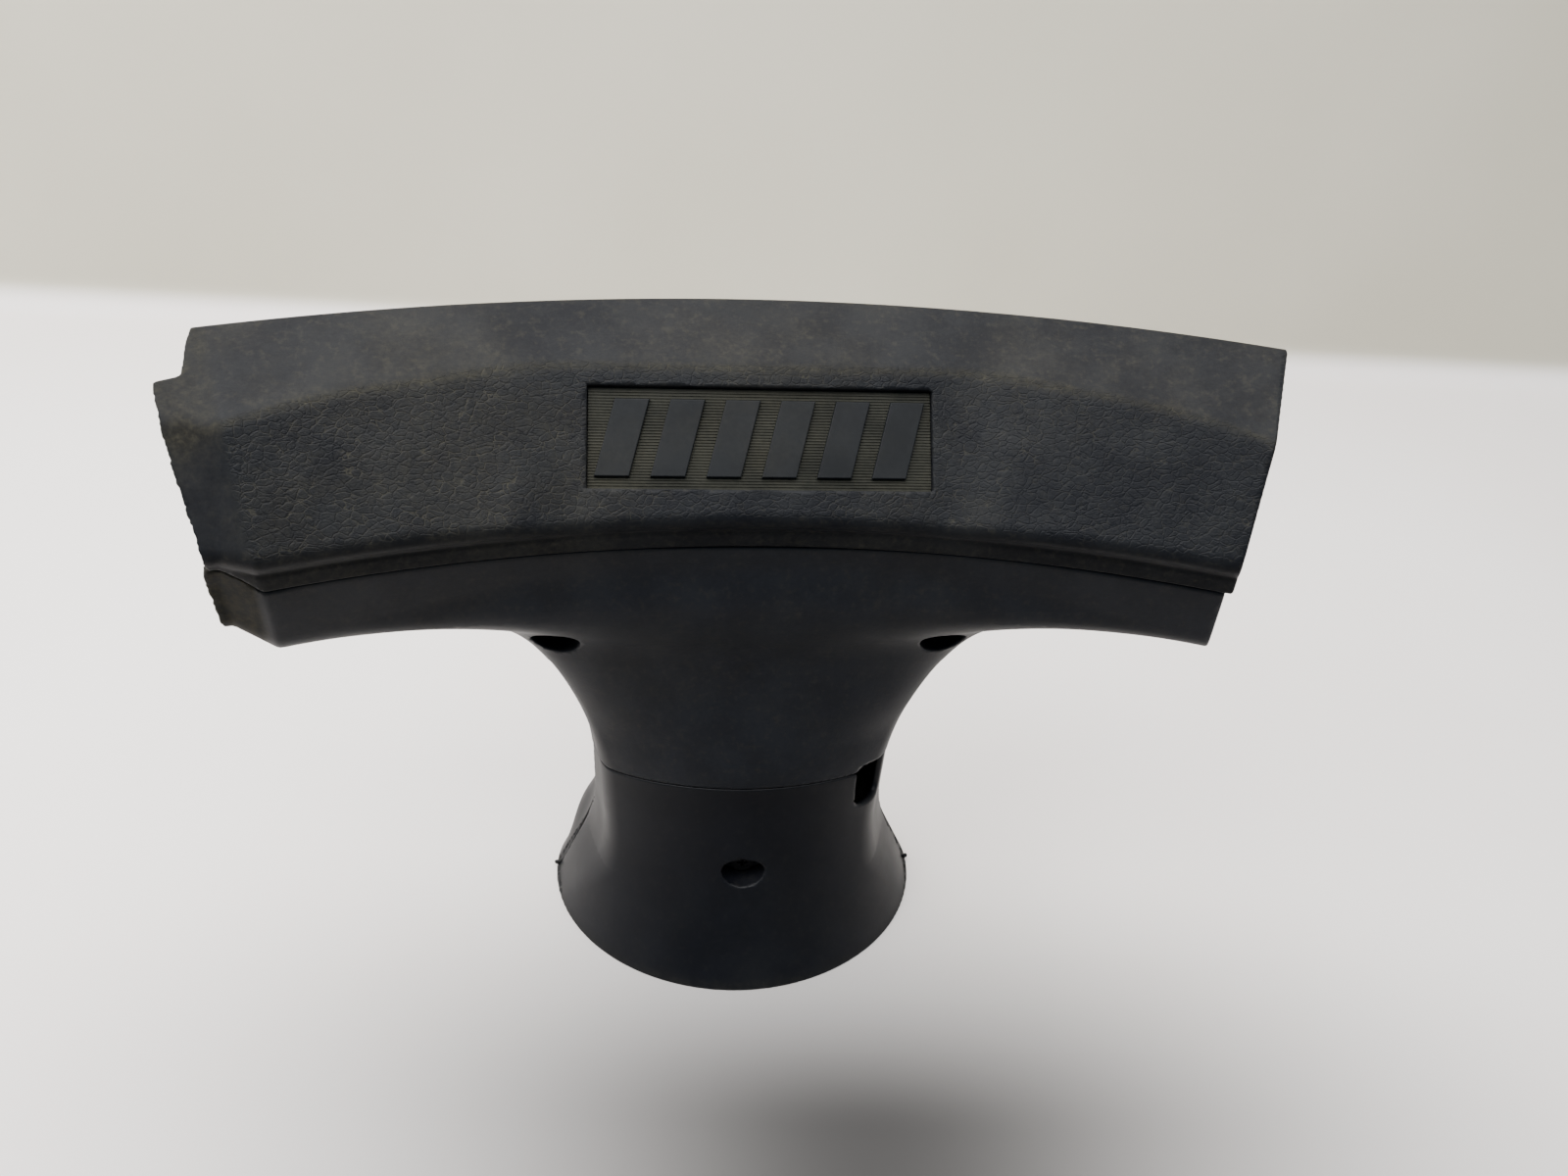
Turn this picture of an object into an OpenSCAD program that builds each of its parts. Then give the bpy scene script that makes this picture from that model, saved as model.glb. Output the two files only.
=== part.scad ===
// T-shaped moulded cover for the centre of a handlebar and the top of its steering column.
// It stands on the rim of its flared skirt. The origin is the middle of the rim, +Z is up, -Y is the
// rider's side, which carries the badge, and +X is to the rider's right.
// The crossbar is one section swept along an arc in plan, so that both ends turn towards the rider.

/* [Crossbar] */
// Width across the two top rear corners
bar_w = 360; // [340:5:380]
// Height of the top rear edge above the rim
top_z = 265; // [263:1:268]
// Radius of the arc that the top rear edge follows
sweep_r = 532; // [500:4:600]
// Wall thickness of every shell
wall = 3; // [2.5:0.25:3.5]

/* [Collar] */
// Length of the stepped collar on the left end
collar_l = 18; // [12:1:22]
// Depth of the step down to the collar
collar_step = 4; // [3:0.5:4.5]

/* [Badge] */
// Width of the badge pocket
badge_w = 120; // [100:2:124]
// Height of the badge pocket, along the slope
badge_h = 36; // [30:1:37]
// Number of slanted bars on the badge
badge_bars = 6; // [4:1:7]

/* [Neck and skirt] */
// Height of the seam between the neck and the skirt
seam_z = 86; // [84:1:88]
// Width of the neck at the seam
neck_w = 123; // [118:1:128]
// Width of the skirt at its rim
rim_w = 160; // [150:2:170]
// How far the rim reaches in front of the origin
rim_front = 67.5; // [64:0.5:72]
// How far the rim reaches behind the origin
rim_rear = 62; // [58:1:70]

/* [Fasteners] */
// Diameter of the screw recesses
recess_d = 19; // [16:0.5:19]
// Screw thread diameter
screw_d = 4; // [3.5:0.5:4]
// Screw head diameter
head_d = 9; // [8:0.5:9.5]

/* [Handlebar] */
// Diameter of the handlebar that the saddles sit on
handlebar_d = 22.2; // [22.2, 22]

/* [Hidden] */

shell_colour = [0.17, 0.18, 0.20];
skirt_colour = [0.11, 0.12, 0.14];
badge_colour = [0.23, 0.24, 0.25];
steel_colour = [0.55, 0.56, 0.58];
brass_colour = [0.72, 0.60, 0.33];

// Sweep: sections are drawn as (radius from the arc's centre, height)
rear_edge_y = 24;
centre_y = rear_edge_y - sweep_r;
end_angle = asin(bar_w / 2 / sweep_r);
collar_angle = collar_l / sweep_r * 180 / PI;
corner_steps = 4;
gap = 0.3;
overlap = 1;
far = 400;

// Corners of the crossbar's section as [y in the middle plane, z, corner radius]
lip = [-34.4, top_z - 64.5, 0.8];
nose = [-41.2, top_z - 51, 5];
crease = [-6, top_z - 10.7, 6];
rear_edge = [rear_edge_y, top_z, 2.5];
rear_foot = [31, top_z - 51, 0.8];
lower_lip = [lip.x + 1.5, lip.y - gap, 0.8];
lower_front = [-28, top_z - 94.5, 7];
lower_rear = [22, top_z - 93.5, 7];
lower_back = [rear_foot.x - 1, rear_foot.y - gap, 0.8];

// The front slope of the bar and its flat middle, which holds the badge
slope_angle = atan2(crease.y - nose.y, crease.x - nose.x);
slope_l = norm([crease.x - nose.x, crease.y - nose.y]);
flat_half_w = 62;
flat_start = 5;
pocket_depth = 3.2;
pocket_floor = 2.2;
badge_mid = 29;
plate_t = 1.6;
rib_pitch = 1.5;
rib_h = 0.35;
bar_h = 0.9;
bar_slant = 8;
peg_x = 46;
peg_r = 1.5;

// Handlebar and the saddles that rest on it
saddle_angle = 11.5;
saddle_t = 6;
saddle_r = handlebar_d / 2 + 0.15;
handlebar_y = -4;
handlebar_z = top_z - 51;

// Neck, as rings from the seam up into the crossbar
neck_top = lower_front.y + 12;
neck_rings = 11;
ring_points = 44;
fillet_w = 56;
fillet_base = seam_z - 8;
fillet_power = 1.8;
neck_front = 37.5;
neck_rear = 21.5;

// Skirt
skirt_rings = 9;
skirt_split_y = 3;

// Fasteners
shoulder_x = 72;
shoulder_z = top_z - 111;
shoulder_seat = -16;
post_angle = 15.5;
post_y = 13;
post_r = 4.5;
post_foot = lower_rear.y + 6.5;
head_t = 3;
floor_t = 2;
thread_r = screw_d / 2 + 0.05;
clearance_r = screw_d / 2 + 0.3;
insert_r = 3;
insert_l = 8;
boss_r = 5;
screw_front_z = 47;
screw_front_seat = -36.6;
screw_rear_z = 66;
screw_rear_seat = 20.6;
tongue_w = 18;
tongue_t = 2.8;
nut_t = 1.4;
notch_y = [-29, -17];
notch_h = 17;

// ---- outlines ----

function unit(v) = v / norm(v);
function left(v) = [-v.y, v.x];
function cross_z(a, b) = a.x * b.y - a.y * b.x;

// Points of a round of radius r at q, between the edges from p and to s
function corner(p, q, s, r) =
    let (u = unit(p - q), w = unit(s - q), half = acos(u * w) / 2,
         c = q + unit(u + w) * r / sin(half),
         a = q + u * r / tan(half) - c, b = q + w * r / tan(half) - c,
         start = atan2(a.y, a.x), turn = atan2(cross_z(a, b), a * b))
    [for (i = [0:corner_steps]) let (t = start + turn * i / corner_steps) c + r * [cos(t), sin(t)]];

// Outline of [x, y, radius] corners with each corner rounded
function rounded(k) =
    [for (i = [0:len(k) - 1])
        let (n = len(k), p = k[(i + n - 1) % n], q = k[i], s = k[(i + 1) % n])
        each corner([p.x, p.y], [q.x, q.y], [s.x, s.y], q[2])];

// The same corners moved t inwards, for an anticlockwise outline
function inset(k, t) =
    [for (i = [0:len(k) - 1])
        let (n = len(k), p = k[(i + n - 1) % n], q = k[i], s = k[(i + 1) % n],
             u = left(unit([q.x - p.x, q.y - p.y])), w = left(unit([s.x - q.x, s.y - q.y])),
             m = [q.x, q.y] + t * (u + w) / (1 + u * w))
        [m.x, m.y, max(q[2] - t, 0.4)]];

// The corner q, moved d further along the edge from p
function beyond(p, q, d) = let (u = unit([q.x - p.x, q.y - p.y])) [q.x + u.x * d, q.y + u.y * d, q[2]];
function as_radius(k) = [for (p = k) [p.x - centre_y, p.y, p[2]]];

// Anticlockwise sections. drop carries the open mouth past the joint line, for cutting.
function upper_section(drop) =
    as_radius([beyond(nose, lip, drop), beyond(rear_edge, rear_foot, drop), rear_edge, crease, nose]);
function lower_section(rise) =
    as_radius([lower_front, lower_rear, beyond(lower_rear, lower_back, rise),
               beyond(lower_front, lower_lip, rise)]);

// ---- sweeping ----

module sweep(from_angle, to_angle) {
    translate([0, centre_y, 0]) rotate([0, 0, 90 + from_angle])
        rotate_extrude(angle = to_angle - from_angle) children();
}

// Stands children drawn in the (radius, height) plane on the arc at an angle, t thick
module across(angle, t) {
    translate([0, centre_y, 0]) rotate([0, 0, 90 + angle]) rotate([90, 0, 0])
        linear_extrude(t, center = true) children();
}

// Puts children at a point of the middle plane, turned to an angle along the arc
module on_arc(angle, y, z) {
    translate([0, centre_y, 0]) rotate([0, 0, angle]) translate([0, y - centre_y, z]) children();
}

// Frame of the front slope: X along the bar, Y up the slope from the nose, Z out of the surface
module on_slope() {
    translate([0, nose.x, nose.y]) rotate([slope_angle, 0, 0]) children();
}

// A cylinder along Y from y0 to y1
module along_y(x, y0, y1, z, r) {
    translate([x, y0, z]) rotate([-90, 0, 0]) cylinder(h = y1 - y0, r = r);
}

// ---- upper cover ----

module upper_shell() {
    difference() {
        sweep(-end_angle, end_angle) polygon(rounded(upper_section(0)));
        sweep(-end_angle - 2, end_angle + 2) polygon(rounded(inset(upper_section(20), wall)));
    }
}

// The left end steps down to a short collar, whose top rear part is cut away
module collar(section, cavity) {
    step_angle = wall / sweep_r * 180 / PI;
    difference() {
        union() {
            sweep(end_angle - step_angle, end_angle - step_angle / 8)
                polygon(rounded(inset(section, wall / 3)));
            sweep(end_angle - step_angle * 0.8, end_angle + collar_angle)
                polygon(rounded(inset(section, collar_step)));
        }
        sweep(end_angle - 1, end_angle + collar_angle + 1)
            polygon(rounded(inset(cavity, collar_step + wall)));
    }
}

module saddle(angle) {
    difference() {
        across(angle, saddle_t) intersection() {
            polygon(rounded(inset(upper_section(0), wall - overlap)));
            translate([0, handlebar_z]) square([far * 2, far]);
        }
        on_arc(angle, handlebar_y, handlebar_z) rotate([0, 90, 0])
            cylinder(h = saddle_t * 3, r = saddle_r, center = true);
    }
}

module post(angle) {
    on_arc(angle, post_y, post_foot + gap) difference() {
        cylinder(h = top_z - 5.6 - post_foot - gap, r = post_r);
        translate([0, 0, -overlap]) cylinder(h = insert_l + 3 + overlap, r = insert_r);
    }
}

module badge_seat() {
    on_slope() translate([-flat_half_w - 3, flat_start - 1, -pocket_depth - pocket_floor])
        cube([2 * flat_half_w + 6, slope_l - flat_start, pocket_depth + pocket_floor]);
}

module badge_cut() {
    on_slope() {
        translate([-flat_half_w, flat_start, 0]) cube([2 * flat_half_w, slope_l, 20]);
        translate([-badge_w / 2, badge_mid - badge_h / 2, -pocket_depth])
            cube([badge_w, badge_h, 20]);
        for (side = [-1, 1])
            translate([side * peg_x, badge_mid, -pocket_depth - 10])
                cylinder(h = 20, r = peg_r + 0.2);
    }
}

module upper_cover() {
    color(shell_colour) {
        difference() {
            union() {
                upper_shell();
                badge_seat();
                intersection() {
                    collar(upper_section(0), upper_section(40));
                    translate([0, centre_y, 0]) cylinder(h = far, r = crease.x - centre_y + 14);
                }
                for (side = [-1, 1]) {
                    saddle(side * saddle_angle);
                    post(side * post_angle);
                }
            }
            badge_cut();
        }
    }
}

// ---- badge ----

// Ribbed face of the plate, as a comb drawn across the ribs
function comb() =
    let (n = floor((badge_h - 2) / rib_pitch), y0 = -(n * rib_pitch) / 2)
    concat([[-badge_h / 2 + gap, 0], [-badge_h / 2 + gap, plate_t]],
           [for (i = [0:n - 1]) each [for (c = [[0, 0], [0, rib_h], [0.5, rib_h], [0.5, 0]])
               [y0 + (i + c.x) * rib_pitch, plate_t + c.y]]],
           [[badge_h / 2 - gap, plate_t], [badge_h / 2 - gap, 0]]);

module slanted_bar(w, h) {
    linear_extrude(bar_h)
        polygon([[-(w + bar_slant) / 2, -h / 2], [(w - bar_slant) / 2, -h / 2],
                 [(w + bar_slant) / 2, h / 2], [(bar_slant - w) / 2, h / 2]]);
}

module badge_plate() {
    bar_pitch = (badge_w - 16) / badge_bars;
    color(badge_colour) on_slope() translate([0, badge_mid, -pocket_depth]) {
        rotate([90, 0, 90]) linear_extrude(badge_w - 2 * gap, center = true) polygon(comb());
        for (i = [0:badge_bars - 1])
            translate([(i - (badge_bars - 1) / 2) * bar_pitch, 0, plate_t])
                slanted_bar(bar_pitch * 0.6, badge_h - 8);
        for (side = [-1, 1])
            translate([side * peg_x, 0, -6]) cylinder(h = 6 + overlap, r = peg_r);
    }
}

module badge_nut(side) {
    color(steel_colour) on_slope()
        translate([side * peg_x, badge_mid, -pocket_depth - pocket_floor - 1.2])
            difference() {
                cylinder(h = 1, r = 4.5);
                translate([0, 0, -overlap]) cylinder(h = 3, r = peg_r + 0.05);
            }
}

// ---- neck and crossbar underside ----

function neck_half_w(z) =
    let (s = min(max((z - fillet_base) / (lower_front.y - fillet_base), 0), 1))
    neck_w / 2 + fillet_w * (1 - pow(1 - pow(s, fillet_power), 1 / fillet_power));
function signed_power(v, e) = sign(v) * pow(abs(v), e);

// A ring of the neck, t inside its surface. Upper rings bend with the crossbar's arc.
function neck_ring(z, t) =
    let (k = min(max((z - seam_z) / (lower_front.y - seam_z), 0), 1),
         w = neck_half_w(z) - t, front = neck_front - 9.5 * k - t, rear = neck_rear + 0.5 * k - t,
         mid = (rear - front) / 2, depth = (rear + front) / 2, power = 2 / (2 + 0.6 * k))
    [for (i = [0:ring_points - 1])
        let (a = 360 * i / ring_points, x = w * signed_power(cos(a), power))
        [x, mid + depth * signed_power(sin(a), power) - k * k * x * x / (2 * sweep_r)]];

module slab(z, points) {
    translate([0, 0, z]) linear_extrude(0.01) polygon(points);
}

module neck_body(t, z0, z1) {
    for (i = [0:neck_rings - 1]) {
        lower_z = z0 + (z1 - z0) * i / neck_rings;
        upper_z = z0 + (z1 - z0) * (i + 1) / neck_rings;
        hull() {
            slab(lower_z, neck_ring(lower_z, t));
            slab(upper_z, neck_ring(upper_z, t));
        }
    }
}

module lower_outside() {
    sweep(-end_angle, end_angle) polygon(rounded(lower_section(0)));
    neck_body(0, seam_z + gap / 2, neck_top);
}

module lower_shell() {
    difference() {
        lower_outside();
        sweep(-end_angle - 2, end_angle + 2) polygon(rounded(inset(lower_section(20), wall)));
        neck_body(wall, seam_z - overlap, neck_top + 4);
    }
}

// Keeps what lies in front of the split, or behind it
module in_front_of_split() {
    translate([0, centre_y, -overlap]) cylinder(h = far, r = -centre_y - gap / 2, $fn = 240);
}

module cable_notch() {
    translate([40, notch_y[0], seam_z - notch_h / 2]) cube([60, notch_y[1] - notch_y[0], notch_h]);
}

module front_cover() {
    color(shell_colour) render() difference() {
        union() {
            intersection() {
                union() {
                    lower_shell($fn = 200);
                    collar(lower_section(0), lower_section(40), $fn = 200);
                }
                in_front_of_split();
            }
            intersection() {
                for (side = [-1, 1])
                    along_y(side * shoulder_x, -60, shoulder_seat + floor_t, shoulder_z, recess_d / 2 + 2);
                lower_outside();
            }
            translate([-tongue_w / 2, -neck_front + wall + gap, 36])
                cube([tongue_w, tongue_t, seam_z - 36 + 12]);
            translate([-tongue_w / 2, -neck_front + overlap, seam_z + gap / 2])
                cube([tongue_w, wall, 11]);
        }
        for (side = [-1, 1]) {
            along_y(side * shoulder_x, -80, shoulder_seat, shoulder_z, recess_d / 2);
            along_y(side * shoulder_x, -80, 0, shoulder_z, clearance_r, $fn = 24);
        }
        along_y(0, -80, 0, screw_front_z, clearance_r, $fn = 24);
        cable_notch();
    }
}

module rear_cover() {
    color(shell_colour) render() difference() {
        union() {
            difference() {
                lower_shell($fn = 200);
                translate([0, 0, -overlap]) scale([1, 1, 2]) hold_split();
            }
            intersection() {
                for (side = [-1, 1]) {
                    along_y(side * shoulder_x, shoulder_seat + floor_t + gap, 60, shoulder_z, boss_r, $fn = 32);
                    on_arc(side * post_angle, post_y, lower_rear.y - 8)
                        cylinder(h = post_foot - lower_rear.y + 8, r = boss_r + 1.5, $fn = 32);
                }
                lower_outside();
            }
            translate([-tongue_w / 2, neck_rear - wall - gap - tongue_t, 55])
                cube([tongue_w, tongue_t, seam_z - 55 + 12]);
            translate([-tongue_w / 2, neck_rear - wall - overlap, seam_z + gap / 2])
                cube([tongue_w, wall, 11]);
        }
        for (side = [-1, 1]) {
            along_y(side * shoulder_x, -60, shoulder_seat + floor_t + gap + insert_l + 3, shoulder_z,
                insert_r, $fn = 32);
            on_arc(side * post_angle, post_y, 0) {
                translate([0, 0, post_foot - far]) cylinder(h = far - 3, r = head_d / 2 + 0.6, $fn = 32);
                cylinder(h = post_foot + 2, r = clearance_r, $fn = 24);
            }
        }
        along_y(0, -10, 80, screw_rear_z, clearance_r, $fn = 24);
    }
}

module hold_split() {
    translate([0, centre_y, 0]) cylinder(h = far, r = -centre_y + gap / 2, $fn = 240);
}

// ---- skirt ----

// A ring of the skirt: t inside the surface, with power giving how late the flare starts
function skirt_ring(z, t, power) =
    let (k = pow(1 - z / seam_z, power), w = neck_w / 2 + (rim_w - neck_w) / 2 * k - t,
         front = neck_front + (rim_front - neck_front) * k - t,
         rear = neck_rear + (rim_rear - neck_rear) * k - t,
         mid = (neck_rear - neck_front) / 2 * (1 - k) + skirt_split_y * k)
    [for (i = [0:ring_points - 1])
        let (a = 360 * i / ring_points, depth = sin(a) < 0 ? front + mid : rear - mid)
        [w * cos(a), mid + depth * sin(a)]];

module skirt_body(t, power, z0, z1) {
    for (i = [0:skirt_rings - 1]) {
        lower_z = z0 + (z1 - z0) * i / skirt_rings;
        upper_z = z0 + (z1 - z0) * (i + 1) / skirt_rings;
        hull() {
            slab(lower_z, skirt_ring(max(lower_z, 0), t, power));
            slab(upper_z, skirt_ring(min(upper_z, seam_z), t, power));
        }
    }
}

module skirt_shell(power) {
    difference() {
        skirt_body(0, power, 0, seam_z - gap / 2);
        skirt_body(wall, power, -overlap, seam_z + overlap);
    }
}

module half_space(side) {
    translate([-far / 2, side > 0 ? skirt_split_y + gap / 2 : skirt_split_y - gap / 2 - far, -far / 2])
        cube([far, far, far]);
}

module front_skirt() {
    power = 2.4;
    color(skirt_colour) render() difference() {
        union() {
            intersection() {
                skirt_shell(power);
                half_space(-1);
            }
            intersection() {
                along_y(0, -80, screw_front_seat + floor_t, screw_front_z, recess_d / 2 + 2);
                skirt_body(0, power, 0, seam_z - gap / 2);
            }
        }
        along_y(0, -80, screw_front_seat, screw_front_z, recess_d / 2);
        along_y(0, -80, 0, screw_front_z, clearance_r, $fn = 24);
        cable_notch();
    }
}

module rear_skirt() {
    power = 1.7;
    color(skirt_colour) render() difference() {
        union() {
            intersection() {
                skirt_shell(power);
                half_space(1);
            }
            intersection() {
                along_y(0, screw_rear_seat - floor_t, 80, screw_rear_z, recess_d / 2 + 2);
                skirt_body(0, power, 0, seam_z - gap / 2);
            }
        }
        along_y(0, screw_rear_seat, 80, screw_rear_z, recess_d / 2);
        along_y(0, 0, 80, screw_rear_z, clearance_r, $fn = 24);
    }
}

// ---- fasteners ----

// Pan-head screw along +Z, with its head's underside at the origin and a cross recess
module screw(l) {
    color(steel_colour) difference() {
        union() {
            translate([0, 0, -head_t]) cylinder(h = head_t, r = head_d / 2);
            cylinder(h = l, r = screw_d / 2);
        }
        for (a = [0, 90])
            rotate([0, 0, a]) translate([-head_d / 4, -0.5, -head_t - overlap])
                cube([head_d / 2, 1, overlap + 1.4]);
    }
}

// Threaded sleeve along +Z
module insert() {
    color(brass_colour) difference() {
        cylinder(h = insert_l, r = insert_r - 0.05);
        translate([0, 0, -overlap]) cylinder(h = insert_l + 2 * overlap, r = thread_r);
    }
}

module clip_nut() {
    color(steel_colour) difference() {
        translate([-7, -6, 0]) cube([14, 12, nut_t]);
        translate([0, 0, -overlap]) cylinder(h = nut_t + 2 * overlap, r = thread_r);
    }
}

module shoulder_screw(side) {
    translate([side * shoulder_x, shoulder_seat, shoulder_z]) rotate([-90, 0, 0]) screw(14);
}

module shoulder_insert(side) {
    translate([side * shoulder_x, shoulder_seat + floor_t + 2 * gap, shoulder_z]) rotate([-90, 0, 0]) insert();
}

module wing_screw(side) {
    on_arc(side * post_angle, post_y, post_foot - 3) screw(14);
}

module wing_insert(side) {
    on_arc(side * post_angle, post_y, post_foot + 2 * gap) insert();
}

module skirt_screw_front() {
    translate([0, screw_front_seat, screw_front_z]) rotate([-90, 0, 0]) screw(11);
}

module skirt_screw_rear() {
    translate([0, screw_rear_seat, screw_rear_z]) rotate([90, 0, 0]) screw(11);
}

module clip_nut_front() {
    translate([0, -neck_front + wall + gap + tongue_t, screw_front_z]) rotate([-90, 0, 0]) clip_nut();
}

module clip_nut_rear() {
    translate([0, neck_rear - wall - gap - tongue_t, screw_rear_z]) rotate([90, 0, 0]) clip_nut();
}

upper_cover();
badge_plate();
badge_nut(-1);  // badge_nut_left
badge_nut(1);  // badge_nut_right
front_cover();
rear_cover();
front_skirt();
rear_skirt();
shoulder_screw(-1);  // shoulder_screw_left
shoulder_screw(1);  // shoulder_screw_right
shoulder_insert(-1);  // shoulder_insert_left
shoulder_insert(1);  // shoulder_insert_right
wing_screw(1);  // wing_screw_left
wing_screw(-1);  // wing_screw_right
wing_insert(1);  // wing_insert_left
wing_insert(-1);  // wing_insert_right
skirt_screw_front();
skirt_screw_rear();
clip_nut_front();
clip_nut_rear();
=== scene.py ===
import math

import bmesh
import bpy
import numpy as np
from mathutils import Matrix, Vector


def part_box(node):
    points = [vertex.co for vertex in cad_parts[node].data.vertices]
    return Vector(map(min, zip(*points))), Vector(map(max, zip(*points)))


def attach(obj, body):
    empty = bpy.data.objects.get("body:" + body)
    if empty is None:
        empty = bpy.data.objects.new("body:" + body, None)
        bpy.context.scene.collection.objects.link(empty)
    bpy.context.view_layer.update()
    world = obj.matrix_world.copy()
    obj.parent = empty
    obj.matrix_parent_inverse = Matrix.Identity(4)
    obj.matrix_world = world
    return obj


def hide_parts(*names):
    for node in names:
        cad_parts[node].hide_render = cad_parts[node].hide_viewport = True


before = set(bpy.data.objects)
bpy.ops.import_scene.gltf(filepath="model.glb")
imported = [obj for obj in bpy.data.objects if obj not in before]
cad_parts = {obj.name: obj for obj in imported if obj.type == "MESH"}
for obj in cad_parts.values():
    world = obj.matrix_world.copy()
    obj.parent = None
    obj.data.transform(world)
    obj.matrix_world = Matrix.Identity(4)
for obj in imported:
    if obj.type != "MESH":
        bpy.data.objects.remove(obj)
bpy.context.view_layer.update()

# ---------------------------------------------------------------- sizes, in millimetres, from the frame
MM = 0.001
upper_hi = np.array(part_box("upper_cover")[1]) / MM
skirt_lo, skirt_hi = (np.array(v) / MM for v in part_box("front_skirt"))
rear_hi = np.array(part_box("rear_skirt")[1]) / MM
TOP = float(upper_hi[2])
SEAM = float(round(skirt_hi[2]))
RIM_W = float(skirt_hi[0])
RIM_FRONT = -float(skirt_lo[1])
RIM_REAR = float(rear_hi[1])
WALL = 3.0
SPLIT = 0.15

# The bar of the T follows an arc about (0, CENTRE_Y), and END is the angle where its right end is cut
SWEEP = 532.0
CENTRE_Y = 24.0 - SWEEP
END = math.asin(float(upper_hi[0]) / (SWEEP + 7.0))
HALF_W = SWEEP * math.sin(END)

# Corners of the upper cover's section, as (y, z) in the middle plane
LIP = (-34.2, TOP - 64.5)
NOSE = (-41.0, TOP - 51.0)
NOSE_UNDER = (-31.0, TOP - 61.0)
BAND_TOP = (-35.6, TOP - 56.0)
REAR_EDGE = (27.2, TOP + 1.3)
REAR_FOOT = (31.0, TOP - 51.0)

# The front slope is flat over its middle, where the badge is, and follows the arc beyond
FLAT_HALF = 58.0
CREASE_BENT, NOSE_BENT = 110.0, 84.0
CREASE_Y, CREASE_Z = -4.5, TOP - 10.3
CREASE_FLAT_Y, NOSE_FLAT_Y = -5.5, -40.2

# Both ends
UPPER_COLLAR, LOWER_COLLAR = 18.0, 15.2
NOTCH_Y = 8.0
RIGHT_TRIM = 1.6
LOWER_TRIM = 2.3

# The badge's pocket: half sizes, depth, the wall behind it, its corners in the section and its two pegs
BADGE_HALF = (58.7, 17.5)
POCKET = 3.2
SEAT = 2.2
BADGE_TOP, BADGE_FOOT = np.array((-9.5, TOP - 15.8)), np.array((-32.5, TOP - 42.2))
BADGE_MID = (BADGE_TOP + BADGE_FOOT) / 2
BADGE_UP = (BADGE_TOP - BADGE_FOOT) / np.linalg.norm(BADGE_TOP - BADGE_FOOT)
PEG_X, PEG_R, PEG_HOLE_R = 46.0, 1.5, 1.7
RIB_PITCH, RIB_H = 1.0, 0.34
PLATE_TOP = -2.2
BARS = 6

# Inside: saddles for the handlebar, posts, screws, inserts and recesses
ALONG_Y, UPRIGHT = 1, 2
SADDLE_ANGLE = math.radians(11.5)
SADDLE_HALF = 3.0
BAR_Y, BAR_Z, BAR_R = -4.0, TOP - 51.0, 11.25
POST_ANGLE = math.radians(15.5)
POST_Y, POST_R = 13.0, 4.5
POST_FOOT = TOP - 87.0
INSERT_R, SHANK_R = 3.0, 2.3
SHOULDER = (72.0, TOP - 111.0)
RECESS_R = 8.8
SCREW_FRONT_Z, SCREW_REAR_Z = 47.0, 66.0
TONGUE_W = 9.0
UNDER_SKIN = 1.1

# Corners of the lower covers' section, then the neck and the skirt below it
LOWER_LIP = (-32.6, TOP - 64.5)
WING_FRONT = (-27.2, TOP - 96.0)
WING_REAR = (21.5, TOP - 95.0)
LOWER_BACK = (30.0, TOP - 51.3)
PART_GAP = 0.35
NECK_W = 61.0
NECK_MID = -8.0
NECK_TOP = TOP - 94.0
NECK_FRONT, NECK_REAR = 37.3, 21.5
FLARE_FOOT, FLARE_W, FLARE_POWER = 78.0, 66.0, 1.9
FLANK_TILT = math.radians(17.0)
FLANK_CUT = 6.0
SKIRT_SPLIT = 3.0
SKIRT_FLARE = 44.0
NUB_R, NUB_Z = 1.1, 2.2


# ---------------------------------------------------------------- distance fields
def smax(a, b, r):
    """The larger of two distances, with the edge where they meet rounded over about r."""
    h = np.maximum(r - np.abs(a - b), 0.0) / r
    return np.maximum(a, b) + h * h * r * 0.25


def smin(a, b, r):
    """The smaller of two distances, with a fillet of about r."""
    return -smax(-a, -b, r)


def smoothstep(a, b, v):
    """0 at a and 1 at b, in either order, with soft ends."""
    t = np.clip((v - a) / (b - a), 0.0, 1.0)
    return t * t * (3.0 - 2.0 * t)


def side(p, q, y, z):
    """Signed distance from the line p to q in a section, positive on its right."""
    dy, dz = q[0] - p[0], q[1] - p[1]
    return ((y - p[0]) * dz - (z - p[1]) * dy) / np.sqrt(dy * dy + dz * dz)


def unroll(x, y):
    """(y in the middle plane, angle along the bar's arc)"""
    return np.hypot(x, y - CENTRE_Y) + CENTRE_Y, np.arctan2(x, y - CENTRE_Y)


def roll(s, y, z):
    """The inverse of unroll, with s the arc's length at the middle plane."""
    angle = s / -CENTRE_Y
    r = y - CENTRE_Y
    return r * np.sin(angle), CENTRE_Y + r * np.cos(angle), z


def on_arc(angle, y):
    """(x, y) of a point of the middle plane, carried along the arc."""
    return (y - CENTRE_Y) * math.sin(angle), CENTRE_Y + (y - CENTRE_Y) * math.cos(angle)


def end_distance(x, y, sign):
    """Distance beyond the end plane, on the right (1) or the left (-1)."""
    return sign * x * math.cos(END) - (y - CENTRE_Y) * math.sin(END)


def rod(x, y, z, axis, at, r):
    """Distance from an endless cylinder along axis."""
    p = [x - at[0], y - at[1], z - at[2]]
    del p[axis]
    return np.hypot(p[0], p[1]) - r


def rod_between(x, y, z, axis, at, r, lo, hi, soft=0.6):
    """The same cylinder, cut off at lo and hi."""
    p = (x, y, z)[axis]
    return smax(rod(x, y, z, axis, at, r), smax(lo - p, p - hi, soft), soft)


def box3(u, v, w, hu, hv, w0, w1, soft):
    """Distance from a block with half sizes hu and hv, from w0 to w1."""
    return smax(smax(np.abs(u) - hu, np.abs(v) - hv, soft), smax(w0 - w, w - w1, soft), soft)


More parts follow.
